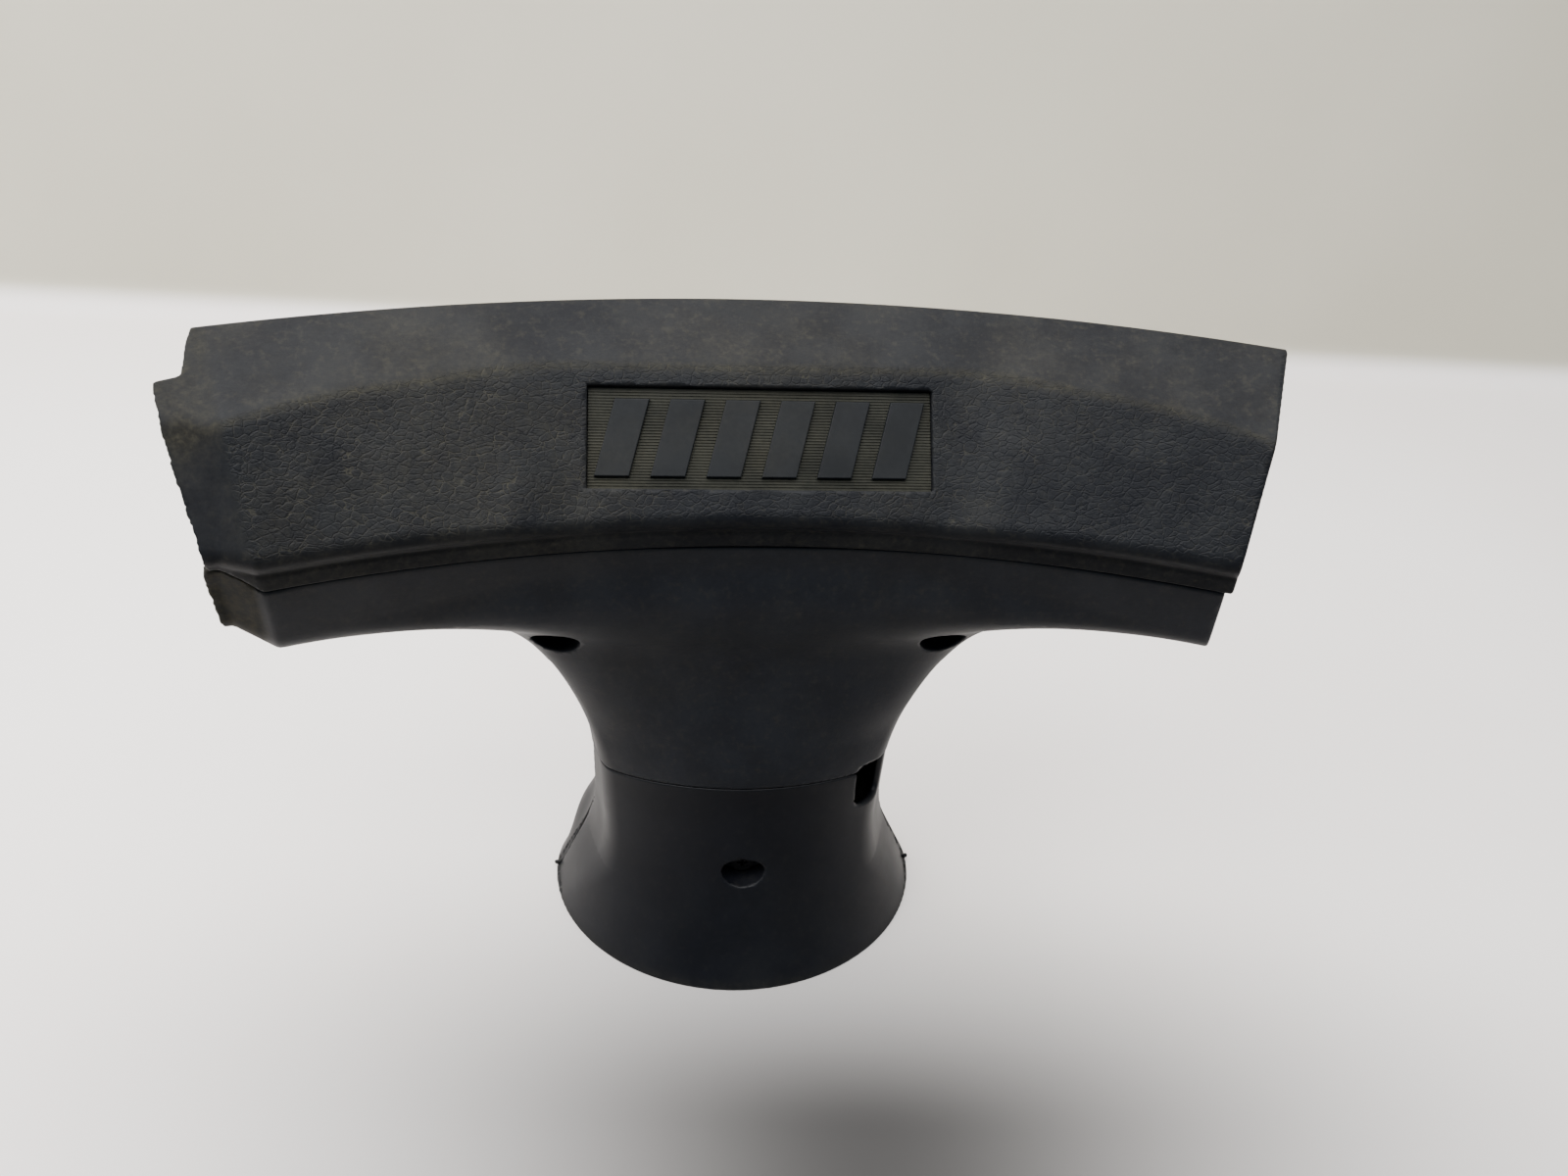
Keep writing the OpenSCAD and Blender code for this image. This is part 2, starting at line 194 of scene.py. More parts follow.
def ragged(s, seed):
    """A torn edge: small irregular offsets along s."""
    out = 0.0 * s
    rng = np.random.default_rng(seed)
    for k in range(1, 6):
        out = out + np.sin(s * 0.35 * k ** 1.3 + rng.uniform(0, 6.3)) * 0.22 / k ** 0.6
    return out


def hollow(out):
    """The wall just inside an outer surface."""
    return smax(out, -(out + WALL), 1.0)


# ---------------------------------------------------------------- the bar of the T and its ends
def facet_lines(x, angle):
    """Where the crease and the nose of the front slope lie in the section at x."""
    late = np.minimum(np.abs(angle) / END, 1.0) ** 4.5
    fall = 12.4 - 2.6 * smoothstep(-60.0, -140.0, x)
    w_crease = smoothstep(FLAT_HALF, CREASE_BENT, np.abs(x))
    w_nose = smoothstep(FLAT_HALF, NOSE_BENT, np.abs(x))
    flat_crease = np.hypot(x, CREASE_FLAT_Y - CENTRE_Y) + CENTRE_Y
    flat_nose = np.hypot(x, NOSE_FLAT_Y - CENTRE_Y) + CENTRE_Y
    crease_y = (1 - w_crease) * flat_crease + w_crease * (CREASE_Y - fall * late)
    crease_z = CREASE_Z - 3.3 * late
    nose_y = (1 - w_nose) * flat_nose + w_nose * NOSE[0]
    return (crease_y, crease_z), (nose_y, NOSE[1])


def left_beyond(x, y, z, yy):
    """Distance beyond the left end's main edge, which leans out to the rear and in at the bottom."""
    lean = 2.0 * smoothstep(TOP - 48.0, TOP - 90.0, z) - 5.0 * smoothstep(-12.0, 26.0, yy)
    return end_distance(x, y, -1) + lean


def right_beyond(x, y, yy):
    """Distance beyond the right-hand end, cut straight but leaning outwards to the rear."""
    behind = yy + 17.0
    return end_distance(x, y, 1) - RIGHT_TRIM - np.where(behind > 0, 0.03, 0.1) * behind


def step_ramp(x, y, z, yy):
    """How far the left end's collar lies inside the bar's surface, and how much steeper that makes it."""
    low = smoothstep(TOP - 12.0, TOP - 60.0, z)
    foot = smoothstep(TOP - 54.0, TOP - 68.0, z)
    step = 1.3 + 4.2 * low + 2.6 * foot
    width = 3.5 + 7.5 * low + 1.5 * foot
    t = left_beyond(x, y, z, yy) / width
    soft = 0.09
    slope = step / width * smoothstep(-0.2, 0.2, t) * smoothstep(1.2, 0.8, t)
    return step * smin(smax(t, 0 * t, soft), 1.0 + 0 * t, soft), np.sqrt(1 + slope * slope)


def parting(x, y, z, yy, under):
    """Height above the parting surface, which steps up at the left end's collar."""
    rise = 1.5 * step_ramp(x, y, z, yy)[0] * smoothstep(5.0, -10.0, yy)
    return side((LIP[0], LIP[1] - under), (REAR_FOOT[0], REAR_FOOT[1] - under), yy, z - rise)


# ---------------------------------------------------------------- the upper cover
def upper_outside(x, y, z):
    """The outer surface: top, front slope, rounded nose, the band down to the lip, and the rear face."""
    yy, angle = unroll(x, y)
    crease, nose = facet_lines(x, angle)
    top = side(REAR_EDGE, crease, yy, z)
    beyond = np.clip(left_beyond(x, y, z, yy), 0.0, UPPER_COLLAR)
    front = side(crease, nose, yy, z) + 0.22 * beyond * smoothstep(TOP - 50.0, TOP - 18.0, z)
    under = side(NOSE, NOSE_UNDER, yy, z)
    rear = side(REAR_FOOT, REAR_EDGE, yy, z)
    band = side(BAND_TOP, LIP, yy, z)
    d = smax(front, top, 1.8)
    d = smax(d, under, 5.5)
    drop, steeper = step_ramp(x, y, z, yy)
    d = smin(d, smax(band, z - (TOP - 57.0) - 1.8 * drop, 2.0), 1.0)
    d = smax(d, rear, 2.4)
    return (d + drop) / steeper


def badge_frame(x, y, z):
    """(across, up the slope, out of the slope), from the middle of the badge."""
    dy, dz = y - BADGE_MID[0], z - BADGE_MID[1]
    return x, dy * BADGE_UP[0] + dz * BADGE_UP[1], -dy * BADGE_UP[1] + dz * BADGE_UP[0]


def upper_inside(x, y, z, shell, out, yy, angle):
    """Adds the two posts with their insert holes, and the two saddle ribs over the handlebar."""
    for sign in (-1, 1):
        at = (*on_arc(sign * POST_ANGLE, POST_Y), 0)
        post = rod_between(x, y, z, UPRIGHT, at, POST_R, POST_FOOT + 0.3, TOP + 20)
        shell = smin(shell, smax(post, out + 1.0, 0.5), 1.5)
        along = (angle - sign * SADDLE_ANGLE) * (yy - CENTRE_Y)
        rib = smax(smax(np.abs(along) - SADDLE_HALF, BAR_Z - z, 0.6), out + 1.0, 0.5)
        bar = np.hypot(yy - BAR_Y, z - BAR_Z) - BAR_R
        shell = smin(shell, smax(rib, -bar, 0.6), 1.2)
        hole = rod_between(x, y, z, UPRIGHT, at, INSERT_R, POST_FOOT - 9, POST_FOOT + 11.3)
        shell = smax(shell, -hole, 0.4)
    return shell


def upper_field(x, y, z):
    out = upper_outside(x, y, z)
    yy, angle = unroll(x, y)
    u, v, w = badge_frame(x, y, z)
    seat = box3(u, v, w, BADGE_HALF[0] + 3, BADGE_HALF[1] + 3, -POCKET - SEAT, 1.0, 0.8)
    shell = smin(hollow(out), smax(seat, out + UNDER_SKIN, 0.8), 1.0)
    shell = upper_inside(x, y, z, shell, out, yy, angle)
    shell = smax(shell, -box3(u, v, w, BADGE_HALF[0], BADGE_HALF[1], -POCKET, 20.0, 0.4), 0.5)
    shell = smax(shell, PEG_HOLE_R - np.hypot(np.abs(u) - PEG_X, v), 0.4)
    shell = smax(shell, parting(x, y, z, yy, 0.0), 1.0)
    shell = smax(shell, right_beyond(x, y, yy), 1.0)
    left = end_distance(x, y, -1)
    edge = left - UPPER_COLLAR + 4.2 * smoothstep(TOP - 12.0, TOP - 60.0, z) - 0.7 * ragged(z + yy, 4)
    shell = smax(shell, edge, 0.8)
    behind = yy - NOTCH_Y
    torn = left_beyond(x, y, z, yy) - 7.0 + 0.43 * behind - 0.6 * ragged(z, 9)
    return smax(shell, smin(torn, behind + 0.1 * left - 1.5, 2.0), 0.8)


# ---------------------------------------------------------------- the lower covers
def neck_sizes(z):
    """Half-width, middle, front, rear, squareness and how far the flanks cut in, at a height."""
    s = np.clip((z - FLARE_FOOT) / (NECK_TOP - FLARE_FOOT), 0.0, 0.999)
    width = NECK_W + FLARE_W * (1 - (1 - s ** FLARE_POWER) ** (1 / FLARE_POWER))
    k = smoothstep(SEAM, 140.0, z)
    front = NECK_FRONT - 8.3 * k + 1.0 * smoothstep(140.0, 170.0, z)
    rear = NECK_REAR + 0.5 * k
    power = 1.9 + 1.9 * smoothstep(100.0, 150.0, z)
    return width, NECK_MID + 0 * z, front, rear, power, FLANK_CUT * (1 - k)


def skirt_sizes(z):
    """The same six values for the skirt, from the seam out to the rim."""
    h = np.clip(1 - z / SEAM, 0.0, 1.0)
    flare = np.minimum(smax(1 - z / SKIRT_FLARE, 0 * z, 0.35), 1.0)
    width = NECK_W + (RIM_W - NECK_W) * flare
    front = NECK_FRONT + (RIM_FRONT - NECK_FRONT) * h ** 1.7
    rear = NECK_REAR + (RIM_REAR - NECK_REAR) * h ** 1.6
    mid = NECK_MID * (1 - h) + SKIRT_SPLIT * h
    cut = smoothstep(0.0, 45.0, z)
    power = 1.98 - 0.18 * cut + 0.1 * smoothstep(60.0, SEAM, z)
    return width, mid, front, rear, power, (FLANK_CUT + 1.0) * cut


def ring_level(x, y, sizes):
    """Level of a section made of two half superellipses, 1 on its outline, and what it is made from."""
    width, mid, front, rear, power, cut = sizes
    ahead = y < mid
    depth = np.where(ahead, front + mid, rear - mid)
    width = width + np.where(ahead, cut, 0.0)
    a = np.abs(x) / width + 1e-6
    b = np.abs(y - mid) / depth + 1e-6
    power = np.where(ahead, power, np.maximum(power, 2.0))
    return (a ** power + b ** power) ** (1 / power), a, b, width, depth, power


def ring_distance(x, y, z, sizes, step=0.5):
    """Distance from a body whose level section is two half superellipses with cut-in front flanks."""
    here, above = sizes(z), sizes(z + step)
    q, a, b, width, depth, power = ring_level(x, y, here)
    gx = (a / q) ** (power - 1) / width
    gy = (b / q) ** (power - 1) / depth
    gz = (ring_level(x, y, above)[0] - q) / step
    round_part = (q - 1) / np.sqrt(gx * gx + gy * gy + gz * gz)
    rise = (above[0] - here[0]) / step
    tilt = FLANK_TILT * np.clip(here[5] / FLANK_CUT, 0.0, 1.0)
    flank = (np.abs(x) - here[0]) * np.cos(tilt) + np.minimum(here[1] - y, 80.0) * np.sin(tilt)
    flank = flank / np.sqrt(1 + rise * rise)
    flank = np.where(here[5] > 0.05, flank, -50.0)
    return np.where(y < here[1] + 4, smax(round_part, flank, 3.5), round_part)


def lower_outside(x, y, z):
    """A bar section swept along the arc, with the neck growing down from it."""
    yy = unroll(x, y)[0]
    front = side(LOWER_LIP, WING_FRONT, yy, z)
    floor = side(WING_FRONT, WING_REAR, yy, z)
    rear = side(WING_REAR, LOWER_BACK, yy, z)
    wing = smax(smax(front, floor, 9.0), rear, 7.0)
    neck = ring_distance(x, y, np.minimum(z, NECK_TOP - 1.0), neck_sizes)
    neck = smax(neck, z - (TOP - 66.0), 4.0)
    d = smin(wing, neck, 6.0 + 19.0 * smoothstep(TOP - 72.0, TOP - 92.0, z))
    drop, steeper = step_ramp(x, y, z, yy)
    return (d + drop) / steeper


def lower_common(x, y, z):
    """What the front and the rear cover share: the surface, the parting line's gap and the wall."""
    out = lower_outside(x, y, z)
    yy = unroll(x, y)[0]
    to_left = smoothstep(-14.0, -2.0, end_distance(x, y, -1))
    gap = 0.95 + 0.4 * to_left + 0.3 * smoothstep(70.0, 140.0, x)
    part = parting(x, y, z, yy, PART_GAP) - gap * smoothstep(-2.3, -1.6, out)
    return out, yy, part, hollow(out)


def recess(x, y, z, at, seat):
    """A screw's recess in the front, wider than it is high, down to its seat at y."""
    high = np.where(z > at[2], 1.65, 1.4)
    return smax(np.hypot(x - at[0], (z - at[2]) * high) - RECESS_R, y - seat, 0.8)


def notch_field(x, y, z):
    """The cable notch at the right-hand end of the seam."""
    hole = smax(np.abs(y + 22.5) - 5.8, np.abs(z - SEAM + 8.0) - 11.5, 4.0)
    return smax(hole, 40.0 - x, 1.0)


def tongue(x, y, z, mid, half, at_y, root_y, screw_z):
    """A tongue that hangs into the skirt and takes its screw, with its thicker root above the seam."""
    blade = smax(smax(np.abs(x) - TONGUE_W, np.abs(z - mid) - half, 2.0), np.abs(y - at_y) - 1.4, 0.6)
    root = smax(smax(np.abs(x) - TONGUE_W, np.abs(z - 92.0) - 5.7, 1.0), np.abs(y - root_y) - 1.8, 0.5)
    blade = smin(blade, root, 0.6)
    return smax(blade, -rod(x, y, z, ALONG_Y, (0, 0, screw_z), SHANK_R), 0.4)


def front_field(x, y, z):
    out, yy, part, shell = lower_common(x, y, z)
    for sign in (-1, 1):
        at = (sign * SHOULDER[0], 0, SHOULDER[1])
        cup = rod_between(x, y, z, ALONG_Y, at, RECESS_R + 2, -70.0, -14.0)
        shell = smin(shell, smax(cup, out + UNDER_SKIN, 0.8), 0.8)
        shell = smax(shell, -recess(x, y, z, at, -16.0), 0.8)
        shell = smax(shell, -rod(x, y, z, ALONG_Y, at, SHANK_R), 0.4)
    dimple = np.sqrt(x * x + (y + 33.5) ** 2 + (z - 139.5) ** 2) - 5.0
    shell = smax(shell, -dimple, 1.5)
    shell = smax(shell, -part, 0.9)
    shell = smax(shell, yy + SPLIT, 0.7)
    shell = smax(shell, SEAM + 0.2 - z, 0.7)
    shell = smin(shell, tongue(x, y, z, 67.0, 31.0, -32.8, -34.4, SCREW_FRONT_Z), 0.6)
    shell = smax(shell, -notch_field(x, y, z), 1.2)
    shell = smax(shell, right_beyond(x, y, yy) + LOWER_TRIM, 1.0)
    torn = 2.3 * smoothstep(TOP - 64.0, TOP - 94.0, z) - 0.8 * ragged(z + 40, 5)
    return smax(shell, end_distance(x, y, -1) - LOWER_COLLAR + torn, 0.8)


def rear_field(x, y, z):
    out, yy, part, shell = lower_common(x, y, z)
    for sign in (-1, 1):
        at = (sign * SHOULDER[0], 0, SHOULDER[1])
        foot = (*on_arc(sign * POST_ANGLE, POST_Y), 0)
        boss = smax(rod_between(x, y, z, ALONG_Y, at, 5.0, -13.7, 60.0), out + 0.8, 0.6)
        shell = smin(shell, boss, 1.2)
        pad = smax(rod_between(x, y, z, UPRIGHT, foot, 6.5, 0.0, POST_FOOT), out, 0.6)
        shell = smin(shell, pad, 1.2)
        shell = smax(shell, -rod_between(x, y, z, ALONG_Y, at, INSERT_R, -60.0, -2.7), 0.4)
        shell = smax(shell, -rod_between(x, y, z, UPRIGHT, foot, 5.1, 0.0, POST_FOOT - 3.0), 0.5)
        shell = smax(shell, -rod(x, y, z, UPRIGHT, foot, SHANK_R), 0.4)
    shell = smax(shell, -part, 0.9)
    shell = smax(shell, SPLIT - yy, 0.7)
    shell = smax(shell, SEAM + 0.2 - z, 0.7)
    shell = smin(shell, tongue(x, y, z, 77.0, 21.5, 16.8, 18.3, SCREW_REAR_Z), 0.6)
    shell = smax(shell, right_beyond(x, y, yy), 1.0)
    return smax(shell, end_distance(x, y, -1) - 3.0 + ragged(z + 9, 6) * 0.5, 0.9)


# ---------------------------------------------------------------- the skirt
def skirt_ends(shell, z):
    """Cuts a skirt half off at the seam and at the floor."""
    return smax(smax(shell, z - SEAM + SPLIT, 0.7), -z, 0.8)


def front_skirt_field(x, y, z):
    out = ring_distance(x, y, z, skirt_sizes)
    at = (0, 0, SCREW_FRONT_Z)
    cup = rod_between(x, y, z, ALONG_Y, at, RECESS_R + 2, -80.0, -34.6)
    shell = smin(hollow(out), smax(cup, out + UNDER_SKIN, 0.8), 0.8)
    shell = smax(shell, -recess(x, y, z, at, -36.6), 0.5)
    shell = smax(shell, -rod(x, y, z, ALONG_Y, at, SHANK_R), 0.4)
    shell = smax(shell, y - SKIRT_SPLIT + SPLIT, 0.7)
    shell = smax(shell, -notch_field(x, y, z), 1.2)
    return skirt_ends(shell, z)


def rear_skirt_field(x, y, z):
    """The rear half stands out behind the split on its left side, so it is seen past the front half."""
    high = smoothstep(SEAM - 2.0, SEAM - 26.0, z) * smoothstep(2.0, 38.0, z)
    proud = 9.0 * high * smoothstep(10.0, -40.0, x) * smoothstep(2.0, 20.0, y) * smoothstep(50.0, 24.0, y)
    out = ring_distance(x + proud, y, z, skirt_sizes) / 1.15
    at = (0, 0, SCREW_REAR_Z)
    cup = rod_between(x, y, z, ALONG_Y, at, RECESS_R + 2, 18.6, 90.0)
    shell = smin(hollow(out), smax(cup, out + UNDER_SKIN, 0.8), 0.8)
    shell = smax(shell, -rod_between(x, y, z, ALONG_Y, at, RECESS_R, 20.6, 90.0, 0.8), 0.9)
    shell = smax(shell, -rod(x, y, z, ALONG_Y, at, SHANK_R), 0.4)
    shell = smax(shell, SKIRT_SPLIT + SPLIT - y, 0.7)
    aside, along, up = np.abs(x) - RIM_W + 0.2, y - SKIRT_SPLIT - 0.8, z - NUB_Z
    nub = np.sqrt(aside ** 2 + along ** 2 + up ** 2) - NUB_R
    return skirt_ends(smin(shell, nub, 0.4), z)


# ---------------------------------------------------------------- meshing
def gradient(field, p, h=0.05):
    """The field's slope at points p, by central differences."""
    g = []
    for axis in range(3):
        up, down = list(p), list(p)
        up[axis] = p[axis] + h
        down[axis] = p[axis] - h
        g.append((field(*up) - field(*down)) / (2 * h))
    return np.stack(g, 1)


def unit(g):
    return g / (np.linalg.norm(g, axis=1)[:, None] + 1e-9)


def crossings(field, axes, place, f, d):
    """Where the surface crosses the grid's edges along axis d: their four cells, slopes, points and sense."""
    shape = np.array(f.shape)
    a, b = (d + 1) % 3, (d + 2) % 3
    n_edge = shape.copy()
    n_edge[d] -= 1
    lo = tuple(slice(0, n) for n in n_edge)
    hi = tuple(slice(1 if k == d else 0, None) for k in range(3))
    f0, f1 = f[lo], f[hi]
    index = np.argwhere((f0 < 0) != (f1 < 0))
    inner = (index[:, a] > 0) & (index[:, a] < shape[a] - 1)
    inner &= (index[:, b] > 0) & (index[:, b] < shape[b] - 1)
    index = index[inner]
    v0, v1 = f0[tuple(index.T)], f1[tuple(index.T)]
    where = [axes[k][index[:, k]] for k in range(3)]
    where[d] = where[d] + v0 / (v0 - v1) * (axes[d][1] - axes[d][0])
    p = place(*where)
    four = []
    for da, db in ((0, 0), (-1, 0), (-1, -1), (0, -1)):
        c = index.copy()
        c[:, a] += da
        c[:, b] += db
        four.append(c[:, 0] * (shape[1] * shape[2]) + c[:, 1] * shape[2] + c[:, 2])
    return np.stack(four, 1), unit(gradient(field, p)), np.stack(p, 1), v0 >= 0


def cell_points(inverse, total, n, p, firm=0.06, limit=1.2):
    """One point in each cell, nearest to the planes of the crossings round it."""
    count = np.bincount(inverse, minlength=total).astype(float)
    mass = np.stack([np.bincount(inverse, np.repeat(col, 4), total) / count for col in p.T], 1)
    nn = np.repeat(n, 4, axis=0)
    offset = np.einsum("ij,ij->i", nn, np.repeat(p, 4, axis=0) - mass[inverse])
    ata = np.empty((total, 3, 3))
    for i in range(3):
        for j in range(3):
            ata[:, i, j] = np.bincount(inverse, nn[:, i] * nn[:, j], total)
    atb = np.stack([np.bincount(inverse, nn[:, i] * offset, total) for i in range(3)], 1)
    ata += np.eye(3) * (firm * count)[:, None, None]
    move = np.linalg.solve(ata, atb[:, :, None])[:, :, 0]
    size = np.linalg.norm(move, axis=1)
    return mass + move * np.minimum(1.0, limit / (size + 1e-9))[:, None]


def settle(field, verts, longest=0.5):
    """Moves points onto the surface along the field's slope, in two short steps."""
    for _ in range(2):
        value = field(*verts.T)
        g = gradient(field, tuple(verts.T))
        shift = value[:, None] * g / (np.einsum("ij,ij->i", g, g)[:, None] + 1e-6)
        size = np.linalg.norm(shift, axis=1)
        verts = verts - shift * np.minimum(1.0, longest / (size + 1e-9))[:, None]
    return verts


def contour(field, axes, place):
    """Quads on the field's zero surface, by dual contouring on a grid that place() bends."""
    f = field(*place(*np.meshgrid(*axes, indexing="ij")))
    found = [crossings(field, axes, place, f, d) for d in range(3)]
    near, n, p, flip = (np.concatenate(part) for part in zip(*found))
    ids, inverse = np.unique(near.ravel(), return_inverse=True)
    verts = settle(field, cell_points(inverse, len(ids), n, p))
    quads = inverse.reshape(-1, 4)
    quads = np.where(flip[:, None], quads[:, ::-1], quads)
    return verts, quads, unit(gradient(field, tuple(verts.T)))


def add_object(name, mesh):
    obj = bpy.data.objects.new(name, mesh)
    bpy.context.scene.collection.objects.link(obj)
    return obj


def make_mesh(name, verts, faces, normals=None):
    """A new object from millimetre points and quads."""
    mesh = bpy.data.meshes.new(name)
    mesh.vertices.add(len(verts))
    mesh.vertices.foreach_set("co", (np.asarray(verts) * MM).astype(np.float32).ravel())
    mesh.loops.add(faces.size)
    mesh.loops.foreach_set("vertex_index", faces.astype(np.int32).ravel())
    mesh.polygons.add(len(faces))
    mesh.polygons.foreach_set("loop_start", np.arange(0, faces.size, faces.shape[1], dtype=np.int32))
    mesh.polygons.foreach_set("use_smooth", np.ones(len(faces), dtype=bool))
    mesh.update(calc_edges=True)
    mesh.validate()
    if normals is not None:
        mesh.normals_split_custom_set_from_vertices(normals.astype(np.float32))
    return add_object(name, mesh)


# ---------------------------------------------------------------- where the textures go
def paint(mesh, rgb):
    """Vertex colours for the material: red for leather grain, green for fine texture, blue for dust and
    painted highlight.
    """
    layer = mesh.attributes.new("zone", "FLOAT_COLOR", "POINT")
    rgba = np.ones((len(rgb[0]), 4), dtype=np.float32)
    for i in range(3):
        rgba[:, i] = rgb[i]
    layer.data.foreach_set("color", rgba.ravel())


def upper_zones(x, y, z, n):
    """Leather on the front slope; dust on the collar and the band over the lip; a painted highlight along the
    crease and at its left end; up-facing faces a little lighter, partly dust and partly painted sheen.
    """
    outer = smoothstep(-1.6, -0.4, upper_outside(x, y, z))
    yy, angle = unroll(x, y)
    slope = smoothstep(0.92, 0.84, n[:, 2]) * smoothstep(0.2, 0.4, n[:, 2])
    left = end_distance(x, y, -1)
    collar = smoothstep(-0.5, 2.5, left)
    # up-facing faces a little lighter: partly dust, partly painted sheen
    top = smoothstep(0.86, 0.93, n[:, 2]) * 0.06 * outer
    band = smoothstep(TOP - 56.0, TOP - 58.0, z) * outer * 0.16
    crease, nose = facet_lines(x, angle)
    ridge = side(REAR_EDGE, crease, yy, z) - side(crease, nose, yy, z)
    # painted highlight: a thin light line along the crease, in the dust colour
    crease_highlight = np.exp(-(ridge / 0.95) ** 2) * smoothstep(-0.6, 0.6, z - TOP + 22.0) * outer
    bare = smoothstep(-21.0, -13.0, yy) * collar
    # painted highlight: a small light patch where the crease ends at the collar
    crease_end_highlight = np.exp(-(ridge / 3.0) ** 2 - ((left - 12.0) / 3.0) ** 2)
    # dust, plus the painted highlights and the painted sheen on the top
    dust_and_highlight = np.clip(bare * 0.35 + collar * 0.06 + top + band + crease_highlight * 0.5 + crease_end_highlight * 0.8, 0, 1)
    return slope * outer * (1 - collar), np.clip(1 - 0.6 * slope, 0, 1) * (0.3 + 0.7 * outer), dust_and_highlight


def lower_zones(x, y, z, n):
    """Fine texture all over, and a dusty collar on the left."""
    return 0 * x, 0 * x + 1.0, smoothstep(-0.5, 2.5, end_distance(x, y, -1)) * 0.85


def skirt_zones(x, y, z, n):
    """Fine texture all over, and a little dust along the rim."""
    return 0 * x, 0 * x + 1.0, 0.25 * smoothstep(6.0, 0.0, z)


# ---------------------------------------------------------------- materials
class Graph:
    """The nodes of one material, with a short call for each kind that is used here."""

    def __init__(self, name):
        self.material = bpy.data.materials.new(name)
        self.material.use_nodes = True
        self.nodes = self.material.node_tree.nodes
        self.links = self.material.node_tree.links
        self.nodes.clear()
        out = self.nodes.new("ShaderNodeOutputMaterial")
        self.shader = self.nodes.new("ShaderNodeBsdfPrincipled")
        self.links.new(self.shader.outputs[0], out.inputs[0])
        self.coord = self.nodes.new("ShaderNodeTexCoord").outputs["Object"]

    def put(self, value, socket):
        """A constant or another node's output, into a socket."""
        if isinstance(value, (int, float)):
            socket.default_value = value
        elif isinstance(value, tuple):
            socket.default_value = (*value, 1) if socket.type == "RGBA" else value
        else:
            self.links.new(value, socket)

    def surface(self, socket, value):
        self.put(value, self.shader.inputs[socket])

    def math(self, op, *values, clamp=False):
        n = self.nodes.new("ShaderNodeMath")
        n.operation = op
        n.use_clamp = clamp
        for value, socket in zip(values, n.inputs):
            self.put(value, socket)
        return n.outputs[0]

    def vector(self, op, *values):
        n = self.nodes.new("ShaderNodeVectorMath")
        n.operation = op
        for value, socket in zip(values, n.inputs):
            self.put(value, socket)
        return n.outputs[0]

    def mix(self, fac, a, b):
        """Colour a where fac is 0 and b where it is 1."""
        n = self.nodes.new("ShaderNodeMix")
        n.data_type = "RGBA"
        for value, socket in ((fac, n.inputs["Factor"]), (a, n.inputs[6]), (b, n.inputs[7])):
            self.put(value, socket)
        return n.outputs[2]

    def span(self, value, lo, hi, a=0.0, b=1.0):
        """Goes softly from a, where value is lo, to b, where it is hi."""
        n = self.nodes.new("ShaderNodeMapRange")
        n.interpolation_type = "SMOOTHSTEP"
        for key, v in (("Value", value), ("From Min", lo), ("From Max", hi), ("To Min", a), ("To Max", b)):
            self.put(v, n.inputs[key])
        return n.outputs["Result"]

    def noise_node(self, scale, detail, rough):
        n = self.nodes.new("ShaderNodeTexNoise")
        for key, v in (("Vector", self.coord), ("Scale", scale), ("Detail", detail), ("Roughness", rough)):
            self.put(v, n.inputs[key])
        return n

    def noise(self, scale, detail=3.0, rough=0.5):
        """Noise with about scale lumps per metre."""
        return self.noise_node(scale, detail, rough).outputs["Fac"]

    def cells(self, coord, scale):
        """Distance from the nearest boundary of a web of cells, scale per metre."""
        n = self.nodes.new("ShaderNodeTexVoronoi")
        n.feature = "DISTANCE_TO_EDGE"
        self.put(coord, n.inputs["Vector"])
        self.put(scale, n.inputs["Scale"])
        return n.outputs["Distance"]

    def zones(self):
        """The three vertex colours that paint() left."""
        zone = self.nodes.new("ShaderNodeAttribute")
        zone.attribute_name = "zone"
        split = self.nodes.new("ShaderNodeSeparateColor")
        self.links.new(zone.outputs["Color"], split.inputs[0])
        return split.outputs[0], split.outputs[1], split.outputs[2]

    def bump(self, height):
        """Raises the surface by height, in millimetres."""
        n = self.nodes.new("ShaderNodeBump")
        self.put(1.0, n.inputs["Strength"])
        self.put(MM, n.inputs["Distance"])
        self.put(height, n.inputs["Height"])
        self.surface("Normal", n.outputs[0])


WARP = 0.0034
LONG_CELLS = (0.62, 1.0, 1.0)
BIG_CELLS, SMALL_CELLS = 430.0, 900.0


def leather_cells(g):
    """Two sizes of wrinkled cells, longer along the bar: the distance from their boundaries."""
    warp = g.noise_node(190.0, 2.0, 0.5).outputs["Color"]
    bent = g.vector("MULTIPLY_ADD", warp, (WARP, WARP, WARP), g.coord)
    bent = g.vector("MULTIPLY", bent, LONG_CELLS)
    return g.cells(bent, BIG_CELLS), g.cells(bent, SMALL_CELLS)


def relief(g, big, small, leather, fine, grain, stipple):
    """Height of the leather's cells and of the fine texture."""
    ripple = g.math("MULTIPLY", g.span(small, 0.0, 0.2), 0.35)
    pebble = g.math("ADD", g.span(big, 0.0, 0.12), ripple)
    cells = g.math("MULTIPLY", g.math("MULTIPLY", pebble, leather), grain)
    speck = g.math("MULTIPLY", g.noise(900.0, 3.0, 0.6), 0.6)
    sand = g.math("MULTIPLY", g.noise(2300.0, 2.0, 0.6), 0.4)
    specks = g.math("MULTIPLY", g.math("MULTIPLY", g.math("ADD", speck, sand), fine), stipple)
    return g.math("ADD", cells, specks)


